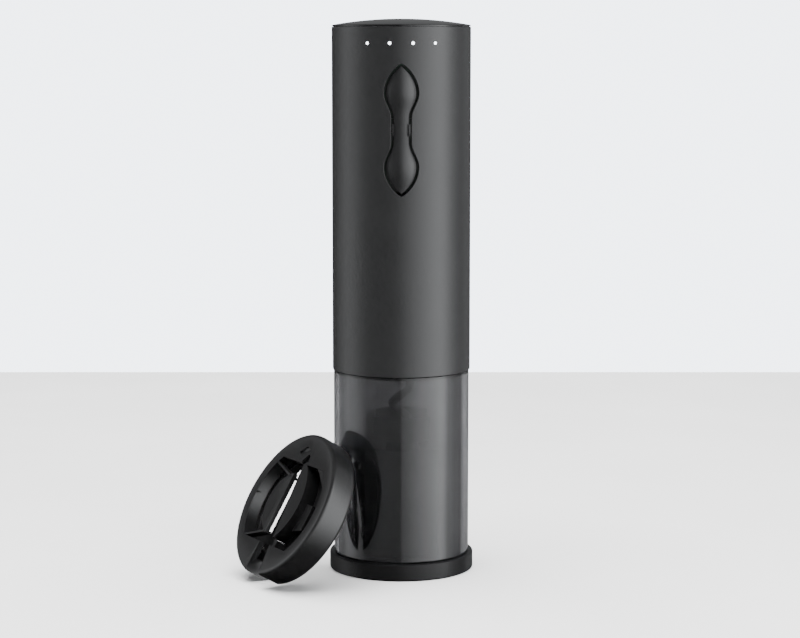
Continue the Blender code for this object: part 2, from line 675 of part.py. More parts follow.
def gear_outline(teeth, tooth_on_x, inside_ring=False):
    """Straight-sided stub teeth. Thinner than half the pitch, which leaves backlash."""
    pitch_r = GEAR_MODULE * teeth / 2
    tip, root = 0.72 * GEAR_MODULE, 0.95 * GEAR_MODULE
    pressure = math.tan(math.radians(24))
    half_pitch_width = 0.42 * math.pi * GEAR_MODULE / 2
    if inside_ring:
        # The ring's material is outside, so its outline follows the gaps between its teeth.
        half_pitch_width = 0.58 * math.pi * GEAR_MODULE / 2
        tip, root = root, tip
    tip_half = (half_pitch_width - tip * pressure) / (pitch_r + tip)
    root_half = (half_pitch_width + root * pressure) / (pitch_r - root)
    shift = 0.0 if tooth_on_x else math.pi / teeth
    points = []
    for tooth in range(teeth):
        middle = math.tau * tooth / teeth + shift
        for radius, turn in ((pitch_r - root, -root_half), (pitch_r + tip, -tip_half),
                             (pitch_r + tip, tip_half), (pitch_r - root, root_half)):
            angle = middle + turn
            points.append((radius * math.cos(angle), radius * math.sin(angle)))
    return points


def pin_set(bm, low, high):
    """The three planet pins of a carrier."""
    for angle in PLANET_ANGLES:
        foot, head = polar(PLANET_ORBIT, angle, low), polar(PLANET_ORBIT, angle, high)
        rod(PLANET_PIN_R, foot, head, 12, bm)


def build_gearbox(root):
    case_r = 15.0 * MM
    case = holed_prism(circle(case_r, 36), gear_outline(RING_TEETH, False, True),
                       GEAR_CASE_BOTTOM, GEAR_CASE_TOP)
    add_object("ring_gear_case", case, ACETAL, root)

    bush_seat = 6.3 * MM
    nose_top = GEAR_CASE_BOTTOM - GAP
    nose = turned([
        (bush_seat, NOSE_BOTTOM), (case_r, NOSE_BOTTOM), (case_r, nose_top),
        (bush_seat, nose_top)], 32)
    add_object("gearbox_nose", nose, ACETAL, root)
    bush = turned([(4.4 * MM, NOSE_BOTTOM), (bush_seat - 0.2 * MM, NOSE_BOTTOM),
                   (bush_seat - 0.2 * MM, nose_top), (4.4 * MM, nose_top)], 24)
    add_object("output_bush", bush, BRONZE, root)

    # Stage two's carrier ends in the spindle that holds the corkscrew.
    disc_low, disc_high = 98.0 * MM, 100.4 * MM
    spindle_r = 4.2 * MM
    output = turned([(0, disc_high), (DISC_R, disc_high), (DISC_R, disc_low),
                     (spindle_r, disc_low), (spindle_r, 88.2 * MM), (0, 88.2 * MM)], 24)
    output = add_object("output_carrier", output, STEEL, root)
    pins = bmesh.new()
    pin_set(pins, disc_low + 1.0 * MM, STAGE_TWO_HIGH)
    combine(output, pins, "UNION")

    # Stage one's carrier has stage two's sun gear on its underside.
    disc_low, disc_high = 106.2 * MM, 108.9 * MM
    carrier = add_object("stage_one_carrier", turned([
        (0, disc_high), (DISC_R, disc_high), (DISC_R, disc_low), (0, disc_low)], 24),
        STEEL, root)
    pins = bmesh.new()
    pin_set(pins, disc_low + 1.0 * MM, STAGE_ONE_HIGH)
    combine(carrier, pins, "UNION")
    combine(carrier, extruded(gear_outline(SUN_TEETH, True), STAGE_TWO_LOW,
                              disc_low + 1.0 * MM), "UNION")

    for stage, low, high in (("one", STAGE_ONE_LOW, STAGE_ONE_HIGH),
                             ("two", STAGE_TWO_LOW, STAGE_TWO_HIGH)):
        first = None
        for letter, degrees in zip("abc", PLANET_ANGLES):
            turn = Matrix.Rotation(math.radians(degrees), 4, "Z")
            place = Matrix.Translation(polar(PLANET_ORBIT, degrees, low)) @ turn
            name = f"planet_{stage}_{letter}"
            if first is None:
                gear = holed_prism(gear_outline(PLANET_TEETH, False),
                                   circle(PLANET_BORE, 12), 0, high - low)
                first = add_object(name, gear, ACETAL, root, place)
            else:
                add_copy(name, first, place)


# --- Corkscrew ----------------------------------------------------------------------------


def worm_centre(height):
    """Where the wire's middle lies: a helix that closes onto the axis at its top end."""
    turn = math.tau * (height - WORM_LEFT_CROSSING) / WORM_PITCH + math.pi
    close = min(max((height - (WORM_TOP - 7 * MM)) / (5.5 * MM), 0), 1)
    radius = (WORM_OUTER_R - WORM_WIRE_R) * (1 - close * close * (3 - 2 * close))
    return Vector((radius * math.cos(turn), radius * math.sin(turn), height))


def build_worm(root):
    sides = 6
    step_height = WORM_PITCH / 11
    taper = 9.0 * MM
    steps = round((WORM_TOP - WORM_TIP) / step_height)
    centres = [worm_centre(WORM_TIP + (WORM_TOP - WORM_TIP) * step / steps)
               for step in range(steps + 1)]
    centres.append(Vector((0, 0, WORM_TOP + 4.6 * MM)))
    bm = bmesh.new()
    tip = bm.verts.new(centres[0])
    rings = []
    side = Vector((1, 0, 0))
    for index in range(1, len(centres)):
        before, here = centres[index - 1], centres[index]
        after = centres[min(index + 1, len(centres) - 1)]
        along = (after - before).normalized()
        level = along.cross(Vector((0, 0, 1)))
        if level.length > 0.05:
            side = level
        side = (side - along * side.dot(along)).normalized()
        up = side.cross(along)
        radius = WORM_WIRE_R * min(1, 0.3 + 0.7 * (here.z - WORM_TIP) / taper)
        ring = []
        for corner in range(sides):
            angle = math.tau * corner / sides
            offset = (side * math.cos(angle) + up * math.sin(angle)) * radius
            ring.append(bm.verts.new(here + offset))
        rings.append(ring)
    for corner in range(sides):
        after = (corner + 1) % sides
        bm.faces.new((tip, rings[0][corner], rings[0][after]))
        for low_ring, high_ring in zip(rings, rings[1:]):
            bm.faces.new((low_ring[corner], high_ring[corner], high_ring[after],
                          low_ring[after]))
    bm.faces.new(rings[-1])
    add_object("worm", bm, STEEL, root)

    holder_r = 7.0 * MM
    shank_r = WORM_WIRE_R + 0.35 * MM
    holder = turned([
        (holder_r - 1.2 * MM, 82.6 * MM), (holder_r, 83.8 * MM), (holder_r, 91.9 * MM),
        (4.5 * MM, 91.9 * MM), (4.5 * MM, 87.9 * MM), (shank_r, 87.9 * MM),
        (shank_r, 82.6 * MM)], SMALL_ROUND)
    add_object("worm_holder", holder, DARK_STEEL, root)


# --- Foil cutter --------------------------------------------------------------------------


def cutter_matrix():
    """Its own axes: X across the slit, Y along it towards the hinge end, Z out of its face."""
    lean, heading = CUTTER_LEAN, CUTTER_HEADING
    face = Vector((math.cos(lean) * math.cos(heading), math.cos(lean) * math.sin(heading),
                   math.sin(lean)))
    slope = Vector((-math.sin(lean) * math.cos(heading), -math.sin(lean) * math.sin(heading),
                    math.cos(lean)))
    across = slope.cross(face)
    middle = CUTTER_REST + slope * CUTTER_R
    matrix = Matrix((across, slope, face)).transposed().to_4x4()
    matrix.translation = middle
    return matrix


def disc_band(radius, low, high, steps=14):
    """Outline of the part of a disc between two levels."""
    first, last = math.asin(low / radius), math.asin(high / radius)
    points = []
    for step in range(steps + 1):
        angle = first + (last - first) * step / steps
        points.append((radius * math.cos(angle), radius * math.sin(angle)))
    return points + [(-x, y) for x, y in reversed(points)]


def lens_outline(side, inset, steps=12):
    """One half of the eye-shaped plate in the middle of the face."""
    centre_x, centre_y, radius, sweep = CUTTER_LENSES[side]
    points = []
    for step in range(steps + 1):
        angle = sweep * (2 * step / steps - 1)
        points.append((centre_x + side * (radius - inset) * math.cos(angle),
                       centre_y + (radius - inset) * math.sin(angle)))
    past_slit = -side * 3.9 * MM
    return points + [(past_slit, points[-1][1]), (past_slit, points[0][1])]


def build_jaw(name, side, frame):
    """Half of the puck. The left jaw has side -1, the right jaw, which is squeezed in, 1."""
    place = at(0, CUTTER_HINGE_AT, 0) if side > 0 else Matrix.Identity(4)
    back = place.inverted()

    def solid(outline, low, high):
        bm = extruded(outline, low, high)
        bmesh.ops.transform(bm, matrix=back, verts=bm.verts)
        return bm

    edge = 1.2 * MM
    top = CUTTER_THICKNESS
    puck = turned([
        (0, 0), (CUTTER_R - edge, 0), (CUTTER_R - 0.3 * edge, 0.3 * edge), (CUTTER_R, edge),
        (CUTTER_R, top - edge), (CUTTER_R - 0.3 * edge, top - 0.3 * edge),
        (CUTTER_R - edge, top), (0, top)], start=math.pi / ROUND)
    bmesh.ops.transform(puck, matrix=back, verts=puck.verts)
    jaw = add_object(name, puck, CUTTER_BLACK, frame, place)
    half = CUTTER_CHANNEL_HALF
    channel_floor = top - CUTTER_CHANNEL_DEPTH
    combine(jaw, solid(disc_band(CUTTER_CHANNEL_R, -half, half), channel_floor, top + MM))
    combine(jaw, solid(lens_outline(side, 0), channel_floor - 0.4 * MM, top - 0.1 * MM), "UNION")
    combine(jaw, solid(circle(CUTTER_CAVITY_R, ROUND), -MM, CUTTER_CAVITY_DEPTH))
    for low, high in ((-21.8 * MM, -half - 0.8 * MM), (half + 0.8 * MM, 21.8 * MM)):
        combine(jaw, solid(disc_band(CUTTER_CHANNEL_R, low, high), -MM, top - CUTTER_BRIDGE))
    combine(jaw, solid(lens_outline(side, 1.3 * MM), -MM, top - CUTTER_PLATE))
    edge_line = [(x * MM, y * MM) for x, y in CUTTER_EDGES[side]]
    far = -side * 32 * MM
    combine(jaw, solid(edge_line + [(far, 32 * MM), (far, -32 * MM)], -MM, top + MM))
    return jaw


def build_cutter(root):
    frame = new_empty("foil_cutter_frame", cutter_matrix(), root)
    build_jaw("cutter_jaw_left", -1, frame)
    build_jaw("cutter_jaw_right", 1, frame)
    middle = CUTTER_CAVITY_DEPTH / 2
    pin_end = CUTTER_THICKNESS - CUTTER_BRIDGE - GAP - middle
    bore = 1.0 * MM
    half = WHEEL_THICKNESS / 2
    wheel = turned([(bore, -half), (WHEEL_R - 0.9 * MM, -half), (WHEEL_R, 0),
                    (WHEEL_R - 0.9 * MM, half), (bore, half)], SMALL_ROUND)
    first_wheel = first_pin = None
    for name, side, end in (("left_top", -1, 1), ("left_bottom", -1, -1),
                            ("right_top", 1, 1), ("right_bottom", 1, -1)):
        x = side * WHEEL_ORBIT * math.sin(WHEEL_OFF_AXIS)
        y = end * WHEEL_ORBIT * math.cos(WHEEL_OFF_AXIS)
        place = at(x, y, middle)
        if first_wheel is None:
            first_wheel = add_object("wheel_" + name, wheel, STEEL, frame, place)
            pin = rod(bore - 0.2 * MM, (0, 0, -1.2 * MM), (0, 0, pin_end))
            first_pin = add_object("wheel_pin_" + name, pin, ZINC, frame, place)
        else:
            add_copy("wheel_" + name, first_wheel, place)
            add_copy("wheel_pin_" + name, first_pin, place)


# --- Assembly -----------------------------------------------------------------------------


def main():
    root = new_empty("opener_axis", at(AXIS_X, AXIS_Y, 0))
    build_shell(root)
    build_port(root)
    build_lights(root)
    build_switch(root)
    build_chassis(root)
    build_battery(root)
    build_motor(root)
    build_gearbox(root)
    build_worm(root)
    build_cutter(root)
    bpy.context.view_layer.update()


main()
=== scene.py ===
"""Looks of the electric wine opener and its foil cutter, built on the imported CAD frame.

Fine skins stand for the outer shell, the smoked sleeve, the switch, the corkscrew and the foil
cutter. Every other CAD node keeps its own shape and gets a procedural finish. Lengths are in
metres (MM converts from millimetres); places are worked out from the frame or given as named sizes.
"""

import json
import math

import bmesh
import bpy
from mathutils import Matrix, Vector


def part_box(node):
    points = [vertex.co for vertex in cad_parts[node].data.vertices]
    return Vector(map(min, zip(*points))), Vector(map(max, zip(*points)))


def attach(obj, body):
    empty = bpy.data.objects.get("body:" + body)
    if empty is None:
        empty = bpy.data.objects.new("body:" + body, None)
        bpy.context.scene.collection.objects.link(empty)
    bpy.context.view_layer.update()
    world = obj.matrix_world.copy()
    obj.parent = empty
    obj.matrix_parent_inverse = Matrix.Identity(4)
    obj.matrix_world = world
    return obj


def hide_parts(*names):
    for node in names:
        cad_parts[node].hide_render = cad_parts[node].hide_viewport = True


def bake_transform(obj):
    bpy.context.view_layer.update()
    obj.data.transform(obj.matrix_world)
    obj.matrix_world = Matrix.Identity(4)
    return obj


MM = 0.001
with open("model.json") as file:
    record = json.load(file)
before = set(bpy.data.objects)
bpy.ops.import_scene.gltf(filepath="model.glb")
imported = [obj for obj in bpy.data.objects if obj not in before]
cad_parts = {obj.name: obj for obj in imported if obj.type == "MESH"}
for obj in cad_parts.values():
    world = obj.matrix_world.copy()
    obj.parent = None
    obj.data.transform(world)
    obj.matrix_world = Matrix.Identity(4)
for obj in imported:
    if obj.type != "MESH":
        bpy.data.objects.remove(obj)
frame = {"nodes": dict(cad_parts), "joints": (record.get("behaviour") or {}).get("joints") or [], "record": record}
nodes = frame["nodes"]
joints = {joint["name"]: joint for joint in frame["joints"]}
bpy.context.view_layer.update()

# --- Sizes and places, from the frame -----------------------------------------------------

base_low, base_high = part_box("base_ring")
AXIS = Vector(((base_low.x + base_high.x) / 2, (base_low.y + base_high.y) / 2, 0))
BASE_R = (base_high.x - base_low.x) / 2
BASE_TOP = 6.1 * MM

housing_low, housing_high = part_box("upper_housing")
HOUSING_R = (housing_high.x - housing_low.x) / 2
HOUSING_BOTTOM, HOUSING_TOP = housing_low.z, housing_high.z
HOUSING_BORE = HOUSING_R - 1.8 * MM

sleeve_low, sleeve_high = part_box("clear_sleeve")
SLEEVE_R = (sleeve_high.x - sleeve_low.x) / 2
SLEEVE_BOTTOM, SPIGOT_TOP = sleeve_low.z, sleeve_high.z
SLEEVE_WALL = 1.7 * MM
SPIGOT_R = HOUSING_BORE - 0.3 * MM

guide_low, guide_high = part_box("neck_guide")
GUIDE_BOTTOM, GUIDE_TOP = guide_low.z, guide_high.z

LED_HEIGHT = 191.3 * MM
LED_ANGLES = (-28.65, -9.55, 9.55, 28.65)
LED_R = 0.52 * MM

PIVOT = Vector(joints["switch_rock"]["pos_m"])
PIVOT_DEPTH = AXIS.y - PIVOT.y
switch_low, switch_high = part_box("switch_rocker")
SWITCH_TIP = (switch_high.z - switch_low.z) / 2 + 0.1 * MM
LOBE_AT = 12.8 * MM
LOBE_HALF = 5.86 * MM
WAIST_HALF = 3.3 * MM
WAIST_FLAT = 4.5 * MM
LOBE_POWER = 0.8
SWITCH_GAP = 0.28 * MM

worm_low, worm_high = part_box("worm")
WORM_PITCH = 14.0 * MM
WORM_OUTER_R = 4.75 * MM
WORM_WIRE_R = 1.45 * MM
WORM_TIP, WORM_TOP = worm_low.z, 83.0 * MM
WORM_LEFT_CROSSING = 46.3 * MM

socket_low, socket_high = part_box("charging_socket")
PORT = (socket_low + socket_high) / 2

CUTTER_R = 27.5 * MM
CUTTER_THICKNESS = 10.5 * MM
CUTTER_CAVITY_R = 23.6 * MM
CUTTER_CAVITY_DEPTH = 4.1 * MM
CUTTER_CHANNEL_R = 22.3 * MM
CUTTER_CHANNEL_HALF = 15.7 * MM
CUTTER_CHANNEL_DEPTH = 5.6 * MM
CUTTER_BRIDGE = 2.3 * MM
CUTTER_PLATE = 1.7 * MM
CUTTER_HINGE_AT = 24.0 * MM
hinge = joints["cutter_squeeze"]
CUTTER_FACE = -Vector(hinge["axis"]).normalized()
CUTTER_UP = (Vector((0, 0, 1)) - CUTTER_FACE * CUTTER_FACE.z).normalized()
CUTTER_ACROSS = CUTTER_UP.cross(CUTTER_FACE)
CUTTER_PLACE = Matrix((CUTTER_ACROSS, CUTTER_UP, CUTTER_FACE)).transposed().to_4x4()
CUTTER_PLACE.translation = Vector(hinge["pos_m"]) - CUTTER_UP * CUTTER_HINGE_AT


# --- Mesh helpers -------------------------------------------------------------------------


def mesh_object(name, bm, material=None, place=None, sharp=32):
    bmesh.ops.recalc_face_normals(bm, faces=bm.faces)
    mesh = bpy.data.meshes.new(name)
    bm.to_mesh(mesh)
    bm.free()
    mesh.shade_smooth()
    mesh.set_sharp_from_angle(angle=math.radians(sharp))
    piece = bpy.data.objects.new(name, mesh)
    bpy.context.scene.collection.objects.link(piece)
    if material:
        mesh.materials.append(material)
    if place:
        mesh.transform(place)
    return piece


def rounded(corners, steps=6):
    """The outline of (across, up, round) corners, with each corner rounded off by its amount."""
    points = []
    for index, (x, y, reach) in enumerate(corners):
        here = Vector((x, y))
        if not reach:
            points.append(here)
            continue
        before = Vector(corners[index - 1][:2])
        after = Vector(corners[(index + 1) % len(corners)][:2])
        start = here + (before - here).normalized() * reach
        end = here + (after - here).normalized() * reach
        for step in range(steps + 1):
            t = step / steps
            points.append(start * (1 - t) ** 2 + here * 2 * t * (1 - t) + end * t * t)
    return [tuple(point) for point in points]


def turned(outline, sides=192, bm=None):
    """A closed (radius, height) outline turned about Z."""
    bm = bm or bmesh.new()
    poles = {}
    columns = []
    for step in range(sides):
        angle = math.tau * step / sides
        column = []
        for index, (radius, height) in enumerate(outline):
            if radius < 1e-7:
                if index not in poles:
                    poles[index] = bm.verts.new((0, 0, height))
                column.append(poles[index])
            else:
                column.append(bm.verts.new((radius * math.cos(angle),
                                            radius * math.sin(angle), height)))
        columns.append(column)
    for here, there in zip(columns, columns[1:] + columns[:1]):
        for index in range(len(outline)):
            after = (index + 1) % len(outline)
            corners = []
            for vert in (here[index], there[index], there[after], here[after]):
                if vert not in corners:
                    corners.append(vert)
            if len(corners) > 2:
                bm.faces.new(corners)
    return bm


def loft(rings, bm=None):
    """A closed solid through rings of points, with a flat face at each end."""
    bm = bm or bmesh.new()
    made = [[bm.verts.new(point) for point in ring] for ring in rings]
    for low, high in zip(made, made[1:]):
        for index in range(len(low)):
            after = (index + 1) % len(low)
            bm.faces.new((low[index], low[after], high[after], high[index]))
    bm.faces.new(made[0])
    bm.faces.new(made[-1])
    return bm


def prism(outline, low, high, bm=None):
    return loft([[(x, y, low) for x, y in outline], [(x, y, high) for x, y in outline]], bm)


def circle(radius, sides=48, middle=(0, 0)):
    return [(middle[0] + radius * math.cos(math.tau * step / sides),
             middle[1] + radius * math.sin(math.tau * step / sides)) for step in range(sides)]


def rod(radius, start, end, sides=32, bm=None):
    start, end = Vector(start), Vector(end)
    turn = Matrix.Translation(start) @ (end - start).to_track_quat("Z", "Y").to_matrix().to_4x4()
    rings = [[turn @ Vector((x, y, level)) for x, y in circle(radius, sides)]
             for level in (0, (end - start).length)]
    return loft(rings, bm)


def combine(piece, bm, operation="DIFFERENCE"):
    """Cut a shape out of a piece, or weld it on, and keep the result as the piece's own mesh."""
    tool = mesh_object("tool", bm)
    modifier = piece.modifiers.new("combine", "BOOLEAN")
    modifier.operation = operation
    modifier.solver = "EXACT"
    modifier.object = tool
    keep(piece)
    bpy.data.objects.remove(tool)
    return piece


def keep(piece, sharp=32):
    """Replace a piece's mesh with the result of its modifiers."""
    graph = bpy.context.evaluated_depsgraph_get()
    mesh = bpy.data.meshes.new_from_object(piece.evaluated_get(graph))
    piece.modifiers.clear()
    piece.data = mesh
    mesh.shade_smooth()
    mesh.set_sharp_from_angle(angle=math.radians(sharp))


def round_normals(piece, radius, middle, tolerance=0.004 * MM):
    """Give the faces on a vertical cylinder of this radius the cylinder's own normals."""
    mesh = piece.data
    normals = [Vector(corner.vector) for corner in mesh.corner_normals]
    for face in mesh.polygons:
        spread = [(mesh.vertices[v].co - middle).to_2d().length for v in face.vertices]
        if max(abs(r - radius) for r in spread) < tolerance and abs(face.normal.z) < 0.02:
            for loop in face.loop_indices:
                out = mesh.vertices[mesh.loops[loop].vertex_index].co - middle
                normals[loop] = Vector((out.x, out.y, 0)).normalized()
    mesh.normals_split_custom_set(normals)


def polar(radius, degrees, height):
    angle = math.radians(degrees)
    return Vector((radius * math.cos(angle), radius * math.sin(angle), height))


AT_AXIS = Matrix.Translation(AXIS)


# --- Finishes -----------------------------------------------------------------------------


def finish(name, colour, roughness, metallic=0.0, grain=2500.0, relief=0.05, stretch=(1, 1, 1),
           blotch=90.0, spread=0.05, tint=0.06, **fixed):
    """A Principled finish with a fine relief, uneven roughness and slight changes of colour.

    grain and blotch are details per metre; stretch scales the grain along each axis.
    """
    material = bpy.data.materials.new(name)
    material.use_nodes = True
    tree = material.node_tree
    shader = tree.nodes["Principled BSDF"]
    shader.inputs["Metallic"].default_value = metallic
    for socket, value in fixed.items():
        shader.inputs[socket.replace("_", " ")].default_value = value

    def node(kind, **values):
        made = tree.nodes.new(kind)
        for key, value in values.items():
            if key in made.inputs:
                made.inputs[key].default_value = value
            else:
                setattr(made, key, value)
        return made

    place = node("ShaderNodeTexCoord")
    scaled = node("ShaderNodeMapping", Scale=stretch)
    tree.links.new(place.outputs["Object"], scaled.inputs["Vector"])
    fine = node("ShaderNodeTexNoise", Scale=grain, Detail=3.0)
    tree.links.new(scaled.outputs["Vector"], fine.inputs["Vector"])
    bump = node("ShaderNodeBump", Strength=relief, Distance=0.05 * MM)
    tree.links.new(fine.outputs["Fac"], bump.inputs["Height"])
    tree.links.new(bump.outputs["Normal"], shader.inputs["Normal"])

    broad = node("ShaderNodeTexNoise", Scale=blotch, Detail=4.0)
    tree.links.new(place.outputs["Object"], broad.inputs["Vector"])
    rough = node("ShaderNodeMapRange", **{"From Min": 0.25, "From Max": 0.75})
    rough.inputs["To Min"].default_value = max(roughness - spread, 0.0)
    rough.inputs["To Max"].default_value = roughness + spread
    tree.links.new(broad.outputs["Fac"], rough.inputs["Value"])
    tree.links.new(rough.outputs["Result"], shader.inputs["Roughness"])

    shade = node("ShaderNodeValToRGB")
    dark = [channel * (1 - tint) for channel in colour]
    light = [min(channel * (1 + tint), 1.0) for channel in colour]
    shade.color_ramp.elements[0].color = (*dark, 1)
    shade.color_ramp.elements[1].color = (*light, 1)
    shade.color_ramp.elements[0].position = 0.3
    shade.color_ramp.elements[1].position = 0.7
    tree.links.new(broad.outputs["Fac"], shade.inputs["Fac"])
    tree.links.new(shade.outputs["Color"], shader.inputs["Base Color"])
    return material


SATIN = finish("satin_plastic", (0.0095, 0.0096, 0.010), 0.36, grain=9000, relief=0.10,
               spread=0.02, IOR=1.5)
SWITCH_SATIN = finish("switch_satin", (0.0065, 0.0066, 0.007), 0.38, grain=9000, relief=0.08,
                      spread=0.02, IOR=1.5)
GLOSS = finish("gloss_plastic", (0.0045, 0.0045, 0.0048), 0.10, grain=400, relief=0.02,
               spread=0.03, IOR=1.5)
RING_SATIN = finish("ring_satin", (0.0055, 0.0055, 0.0058), 0.26, grain=4000, relief=0.04,
                    spread=0.01, tint=0.02, IOR=1.5, Specular_IOR_Level=0.15)
CUTTER_SATIN = finish("cutter_satin", (0.006, 0.006, 0.0062), 0.30, grain=7000, relief=0.10,
                      spread=0.03, IOR=1.5)
SMOKED = finish("smoked_clear", (0.10, 0.10, 0.104), 0.02, grain=60, relief=0.004, spread=0.01,
                tint=0.03, IOR=1.49, Transmission_Weight=0.96)
INNER = finish("smoked_inner", (0.020, 0.020, 0.021), 0.14, grain=500, relief=0.02, spread=0.03,
               IOR=1.49)
LENS = finish("lens_white", (0.85, 0.86, 0.88), 0.35, grain=5000, relief=0.1,
              Emission_Color=(0.9, 0.95, 1.0, 1.0), Emission_Strength=6.0)
WORM_COAT = finish("worm_coating", (0.05, 0.05, 0.052), 0.30, grain=4000, relief=0.15,
                   spread=0.06, IOR=1.6, Coat_Weight=0.3, Coat_Roughness=0.2)
STEEL = finish("steel", (0.62, 0.62, 0.63), 0.24, metallic=1.0, grain=900, relief=0.08,
               stretch=(1, 1, 0.08), spread=0.06)
DARK_STEEL = finish("dark_steel", (0.09, 0.09, 0.095), 0.34, metallic=1.0, grain=1200,
                    relief=0.12, stretch=(1, 1, 0.1), spread=0.08)
BRONZE = finish("bronze", (0.50, 0.33, 0.16), 0.38, metallic=1.0, grain=5200, relief=0.35,
                spread=0.08, tint=0.15)
ZINC = finish("zinc", (0.55, 0.55, 0.53), 0.36, metallic=1.0, grain=3000, relief=0.12,
              spread=0.08, tint=0.10)
ACETAL = finish("acetal", (0.74, 0.73, 0.69), 0.42, grain=2600, relief=0.08, tint=0.04,
                Subsurface_Weight=0.15, Subsurface_Radius=(1 * MM, 1 * MM, 1 * MM))
CHASSIS = finish("chassis_plastic", (0.03, 0.03, 0.032), 0.52, grain=5200, relief=0.25)
BOARD = finish("circuit_board", (0.005, 0.022, 0.011), 0.32, grain=700, relief=0.3, tint=0.35,
               blotch=420)
CELL = finish("cell_wrap", (0.03, 0.10, 0.32), 0.30, grain=260, relief=0.10, tint=0.08)

FINISH_OF_SLOT = {
    "satin_black": SATIN, "gloss_black": GLOSS, "smoked_clear": SMOKED, "smoked_inner": INNER,
    "cutter_black": CUTTER_SATIN, "lens_white": LENS, "steel": STEEL, "worm_steel": WORM_COAT,
    "dark_steel": DARK_STEEL, "bronze": BRONZE, "zinc": ZINC, "acetal": ACETAL,
    "chassis_grey": CHASSIS, "board_green": BOARD, "cell_wrap": CELL}
for part in frame["record"]["subparts"]:
    piece = nodes[part["node"]]
    piece.data.materials.clear()
    piece.data.materials.append(FINISH_OF_SLOT[part["material_slot"]])


def stand_for(piece, body, slot, *replaced):
    """Put a finished piece on its CAD body in place of the nodes that it stands for."""
    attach(piece, body)
    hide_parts(*replaced)
    return piece


# --- Switch outline -----------------------------------------------------------------------


def switch_half_width(along):
    """Half the width of the peanut-shaped line around the switch, measured from its middle."""
    distance = abs(along)
    if distance <= LOBE_AT:
        t = min(max((distance - WAIST_FLAT) / (LOBE_AT - WAIST_FLAT), 0), 1)
        return WAIST_HALF + (LOBE_HALF - WAIST_HALF) * t * t * (3 - 2 * t)
    t = min((distance - LOBE_AT) / (SWITCH_TIP + SWITCH_GAP - LOBE_AT), 1)
    return LOBE_HALF * (1 - t * t) ** LOBE_POWER


def switch_outline(grow, steps=72):
    """The switch line as (across, along) points, moved outwards by a distance."""
    reach = SWITCH_TIP + SWITCH_GAP
    side = []
    for step in range(1, steps):
        along = -math.cos(math.pi * step / steps) * reach
        slope = (switch_half_width(along + 0.01 * MM)
                 - switch_half_width(along - 0.01 * MM)) / (0.02 * MM)
        tilt = math.sqrt(1 + slope * slope)
        side.append((max(switch_half_width(along) + grow / tilt, 0.02 * MM),
                     along - grow * slope / tilt))
    side = [(0, -reach - grow * 1.1)] + side + [(0, reach + grow * 1.1)]
    return side + [(-across, along) for across, along in reversed(side[1:-1])]


# --- Outer shell --------------------------------------------------------------------------

cap_dome = HOUSING_R - 0.8 * MM
cap_rise = 2.1 * MM
cap_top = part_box("top_cap")[1].z
skirt_r = HOUSING_BORE - 0.3 * MM
skirt_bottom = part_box("top_cap")[0].z
outline = [(cap_dome * step / 24, cap_top - cap_rise * (step / 24) ** 2) for step in range(25)]
outline += rounded([
    (cap_dome, cap_top - cap_rise, 0), (HOUSING_R - 0.1 * MM, HOUSING_TOP + 0.62 * MM, 0.2 * MM),
    (HOUSING_R - 0.1 * MM, HOUSING_TOP + 0.2 * MM, 0.1 * MM)])[1:]
outline += [(HOUSING_R - 0.5 * MM, HOUSING_TOP + 0.2 * MM),
            (HOUSING_R - 0.5 * MM, HOUSING_TOP + 0.03 * MM),
            (skirt_r, HOUSING_TOP + 0.03 * MM), (skirt_r, skirt_bottom),
            (skirt_r - 1.4 * MM, skirt_bottom), (skirt_r - 1.4 * MM, HOUSING_TOP - 0.2 * MM),
            (0, HOUSING_TOP + 0.3 * MM)]
cap = mesh_object("cap_skin", turned(outline), GLOSS, AT_AXIS)
stand_for(cap, "opener", "gloss_black", "top_cap")

housing = mesh_object("housing_skin", turned(rounded([
    (HOUSING_R, HOUSING_BOTTOM, 0.3 * MM), (HOUSING_R, HOUSING_TOP, 0.25 * MM),
    (HOUSING_BORE, HOUSING_TOP, 0), (HOUSING_BORE, HOUSING_BOTTOM, 0)])), SATIN, AT_AXIS)
EDGE = 0.16 * MM
APERTURE_GROW = 0.3 * MM      # widens the dark line around the switch
rings = []
for grow, under in ((EDGE, -1.0 * MM), (EDGE, 0), (0.55 * EDGE, 0.2 * EDGE),
                    (0.2 * EDGE, 0.55 * EDGE), (0, EDGE), (0, 3.5 * MM)):
    rings.append([AXIS + Vector((x, under - math.sqrt(HOUSING_R ** 2 - x * x), PIVOT.z + z))
                  for x, z in switch_outline(grow + APERTURE_GROW)])
combine(housing, loft(rings))
holes = bmesh.new()
for angle in LED_ANGLES:
    direction = angle - 90
    rod(LED_R + 0.10 * MM, AXIS + polar(20 * MM, direction, LED_HEIGHT),
        AXIS + polar(28 * MM, direction, LED_HEIGHT), 32, holes)
combine(housing, holes)


def port_outline(grow):
    """Rounded slot of the charging socket, as (across, up) points."""
    reach = (socket_high.z - socket_low.z) / 2
    half = (socket_high.x - socket_low.x) / 2
    points = []
    for side in (1, -1):
        for step in range(17):
            angle = math.pi * step / 16 - math.pi / 2
            points.append((side * (half - reach + (reach + grow) * math.cos(angle)),
                           side * (reach + grow) * math.sin(angle)))
    return points


def port_shape(grow, near, far, flare=0.0):
    """The slot's outline pushed from one depth to another at the back of the tube."""
    levels = [(near, grow), (far, grow)]
    if flare:
        levels = [(near, grow), (HOUSING_R - flare, grow), (HOUSING_R, grow + flare),
                  (far, grow + flare)]
    return loft([[Vector((AXIS.x + x, AXIS.y + depth, PORT.z + z))
                  for x, z in port_outline(grown)] for depth, grown in levels])


combine(housing, port_shape(0.3 * MM, 20 * MM, 28 * MM, 0.25 * MM))
round_normals(housing, HOUSING_R, AXIS)
stand_for(housing, "opener", "satin_black", "upper_housing")

